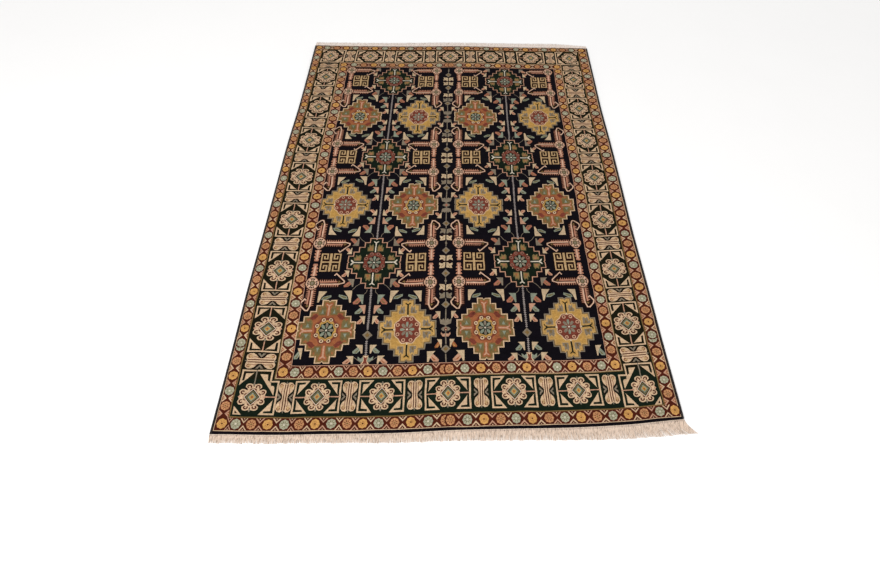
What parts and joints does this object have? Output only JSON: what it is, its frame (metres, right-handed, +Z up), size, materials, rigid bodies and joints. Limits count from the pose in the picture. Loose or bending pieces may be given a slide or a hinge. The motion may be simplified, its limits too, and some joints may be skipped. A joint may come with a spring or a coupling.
{
  "type": "persian rug",
  "caption": "Flat rectangular hand-knotted wool pile rug with overcast long sides and a cotton fringe at each end.",
  "frame": {"origin": "middle of the underside of the whole rug, fringes included, on the floor it lies on", "axes": "+Y along the rug's length away from the near end, +X across its width to the right, +Z up out of the pile"},
  "size_m": [2.0556, 3.1822, 0.0118],
  "materials": {
    "pile": "cut wool pile, matt with a slight sheen along the nap",
    "binding": "navy wool overcast round the edge warps, matt",
    "fringe": "undyed cotton warp ends, matt"
  },
  "bodies": {
    "root": {"carpet": "pile", "selvage_left": "binding", "selvage_right": "binding", "fringe_near": "fringe", "fringe_far": "fringe"}
  },
  "joints": []
}
